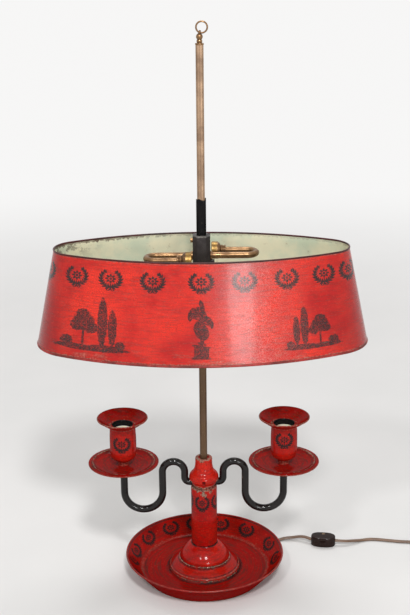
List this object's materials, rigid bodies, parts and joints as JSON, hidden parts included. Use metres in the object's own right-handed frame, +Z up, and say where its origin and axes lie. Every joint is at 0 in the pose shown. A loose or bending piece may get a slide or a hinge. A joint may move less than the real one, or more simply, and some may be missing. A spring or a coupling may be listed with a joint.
{
  "type": "table lamp",
  "caption": "Bouillotte table lamp: red tole dish foot and column, fixed candle arms, and an oval tole shade with bulb holders that slides on a square stem.",
  "frame": {"origin": "on the table, on the axis of the stem", "axes": "+X towards the right candle arm along the shade's length, +Y from the viewer to the back, +Z up along the stem"},
  "size_m": [0.5488, 0.188, 0.6471],
  "materials": {
    "tole_red": "vermilion tole paint, crazed and scuffed, edges worn to bare metal",
    "bead_dark": "paint worn dark along the wired edge",
    "bead_worn": "paint worn pale along the wired edge",
    "arm_black": "gloss black",
    "stem_copper": "browned brass, dull",
    "iron_dark": "dark grey, worn",
    "sleeve_black": "black, chipped at its top",
    "brass_old": "aged brass",
    "brass_bright": "bright brass",
    "holder_core": "off-white moulded insulator",
    "steel": "plain",
    "lead_wire": "brown insulation",
    "cord_brown": "brown flat twin cord",
    "plastic_brown": "dark brown moulding",
    "wax": "ivory, rounded at its edge"
  },
  "bodies": {
    "base": {"base_dish": "tole_red", "cord_bush": "plastic_brown", "stem_nut": "brass_old", "stem_washer": "steel", "ballast_ring": "iron_dark", "foot_step": "tole_red", "column_bell": "tole_red", "column_tube": "tole_red", "arm_hub": "iron_dark", "column_cap": "tole_red", "stem_rod": "stem_copper", "riser_lead": "lead_wire", "base_lead": "lead_wire", "finial_knob": "brass_old", "arm_left": "arm_black", "arm_right": "arm_black", "pan_left": "tole_red", "pan_right": "tole_red", "cup_left": "tole_red", "cup_right": "tole_red", "cup_nuts": "brass_old", "cord_lead": "cord_brown", "cord_run": "cord_brown", "cord_coil": "cord_brown", "cord_tail": "cord_brown", "switch_base": "plastic_brown", "switch_cover": "plastic_brown", "switch_screw": "steel", "switch_contacts": "brass_bright", "plug_body": "plastic_brown", "plug_blades": "brass_bright"},
    "carriage": {"slide_block": "iron_dark", "slide_sleeve": "sleeve_black", "set_screw": "brass_old", "shade_bar": "iron_dark", "bar_screws": "brass_old", "shade_wall": "tole_red", "shade_top_bead": "bead_dark", "shade_bottom_bead": "bead_worn", "holder_tube_front": "brass_old", "holder_tube_back": "brass_old", "holder_cap_front": "brass_old", "holder_cap_back": "brass_old", "holder_shell_front": "brass_bright", "holder_shell_back": "brass_bright", "holder_core_front": "holder_core", "holder_core_back": "holder_core", "holder_lead_front": "lead_wire", "holder_lead_back": "lead_wire"},
    "clamp_screw": {"clamp_screw": "iron_dark"},
    "finial_ring": {"finial_ring": "brass_old"},
    "nozzle_left": {"nozzle_left": "tole_red", "wax_left": "wax"},
    "nozzle_right": {"nozzle_right": "tole_red", "wax_right": "wax"},
    "switch_wheel": {"switch_wheel": "plastic_brown"}
  },
  "joints": [
    {"name": "shade_slide", "type": "slide", "parent": "base", "child": "carriage", "axis": [0, 0, 1], "range_m": [-0.14, 0.155]},
    {"name": "clamp_turn", "type": "hinge", "parent": "carriage", "child": "clamp_screw", "pos_m": [0.0097, 0, 0.387], "axis": [1, 0, 0], "range_deg": [0, 180]},
    {"name": "ring_swing", "type": "hinge", "parent": "base", "child": "finial_ring", "pos_m": [0, 0, 0.6349], "axis": [0.9135, 0, -0.4067], "range_deg": [-60, 60]},
    {"name": "nozzle_left_lift", "type": "slide", "parent": "base", "child": "nozzle_left", "axis": [0, 0, 1], "range_m": [0, 0.04]},
    {"name": "nozzle_right_lift", "type": "slide", "parent": "base", "child": "nozzle_right", "axis": [0, 0, 1], "range_m": [0, 0.04]},
    {"name": "switch_turn", "type": "hinge", "parent": "base", "child": "switch_wheel", "pos_m": [0.14736, 0.05344, 0.0058], "axis": [0, 0, 1], "continuous": true}
  ]
}
